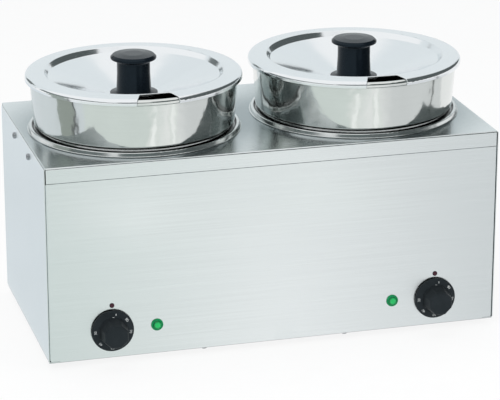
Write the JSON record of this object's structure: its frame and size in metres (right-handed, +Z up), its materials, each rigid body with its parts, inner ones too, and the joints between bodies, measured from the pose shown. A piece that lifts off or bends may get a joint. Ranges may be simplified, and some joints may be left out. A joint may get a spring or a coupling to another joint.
{
  "type": "soup kettle",
  "caption": "Countertop soup kettle with a brushed steel housing, heated wells, lift-out pots under notched lids, and thermostat dials with indicator lamps.",
  "frame": {"origin": "centre of the bottom of the whole box, on the worktop that the feet stand on", "axes": "+Z up, +Y from the front with the dials towards the rear, +X to the right seen from the front"},
  "size_m": [0.6052, 0.331, 0.3683],
  "materials": {
    "housing_steel": "fine brushed stainless sheet",
    "base_steel": "plain mill-finish sheet",
    "pot_steel": "polished stainless",
    "lid_steel": "polished stainless",
    "well_steel": "pressed stainless",
    "screw_steel": "plated steel",
    "foot_rubber": "matt black rubber",
    "knob_plastic": "satin black phenolic",
    "dial_plastic": "satin charcoal plastic with white numbers",
    "green_bezel": "dark green moulded lamp holder",
    "green_lens": "translucent green",
    "red_lens": "translucent dark red",
    "switch_plastic": "moulded black switch body",
    "terminal_ceramic": "pale moulded block",
    "gland_nylon": "black nylon",
    "element_tube": "oxidised sheath",
    "probe_copper": "bare copper",
    "wire_sleeve": "braided glass sleeve"
  },
  "bodies": {
    "housing": {"base_plate": "base_steel", "base_screws": "screw_steel", "cable_gland": "gland_nylon", "clamp_nuts": "screw_steel", "foot_screws": "screw_steel", "front_panel": "housing_steel", "gland_nut": "gland_nylon", "green_lamp_body_left": "green_bezel", "green_lamp_body_right": "green_bezel", "green_lamp_lens_left": "green_lens", "green_lamp_lens_right": "green_lens", "heater_clamp_left": "base_steel", "heater_clamp_right": "base_steel", "heating_element_left": "element_tube", "heating_element_right": "element_tube", "outer_cover": "housing_steel", "probe_clips": "base_steel", "rear_panel": "housing_steel", "red_lamp_body_left": "switch_plastic", "red_lamp_body_right": "switch_plastic", "red_lamp_lens_left": "red_lens", "red_lamp_lens_right": "red_lens", "rubber_feet": "foot_rubber", "side_screws_left": "screw_steel", "side_screws_right": "screw_steel", "temperature_probe_left": "probe_copper", "temperature_probe_right": "probe_copper", "terminal_block": "terminal_ceramic", "thermal_cutout_left": "switch_plastic", "thermal_cutout_right": "switch_plastic", "thermostat_left": "switch_plastic", "thermostat_right": "switch_plastic", "thermostat_screws": "screw_steel", "well_bracket_left": "base_steel", "well_bracket_right": "base_steel", "well_left": "well_steel", "well_right": "well_steel", "wiring_left": "wire_sleeve", "wiring_right": "wire_sleeve"},
    "left_pot": {"pot_left": "pot_steel"},
    "left_lid": {"lid_left": "lid_steel", "lid_knob_left": "knob_plastic", "lid_knob_screw_left": "screw_steel", "lid_knob_washer_left": "screw_steel"},
    "left_dial": {"control_knob_left": "dial_plastic", "thermostat_shaft_left": "screw_steel"},
    "right_pot": {"pot_right": "pot_steel"},
    "right_lid": {"lid_right": "lid_steel", "lid_knob_right": "knob_plastic", "lid_knob_screw_right": "screw_steel", "lid_knob_washer_right": "screw_steel"},
    "right_dial": {"control_knob_right": "dial_plastic", "thermostat_shaft_right": "screw_steel"}
  },
  "joints": [
    {"name": "left_pot_lift", "type": "slide", "parent": "housing", "child": "left_pot", "axis": [0, 0, 1], "range_m": [0, 0.25]},
    {"name": "left_lid_lift", "type": "slide", "parent": "left_pot", "child": "left_lid", "axis": [0, 0, 1], "range_m": [0, 0.15]},
    {"name": "left_dial_turn", "type": "hinge", "parent": "housing", "child": "left_dial", "pos_m": [-0.217, -0.1385, 0.0478], "axis": [0, 1, 0], "range_deg": [0, 318]},
    {"name": "right_pot_lift", "type": "slide", "parent": "housing", "child": "right_pot", "axis": [0, 0, 1], "range_m": [0, 0.25]},
    {"name": "right_lid_lift", "type": "slide", "parent": "right_pot", "child": "right_lid", "axis": [0, 0, 1], "range_m": [0, 0.15]},
    {"name": "right_dial_turn", "type": "hinge", "parent": "housing", "child": "right_dial", "pos_m": [0.217, -0.1385, 0.0478], "axis": [0, 1, 0], "range_deg": [0, 318]}
  ]
}
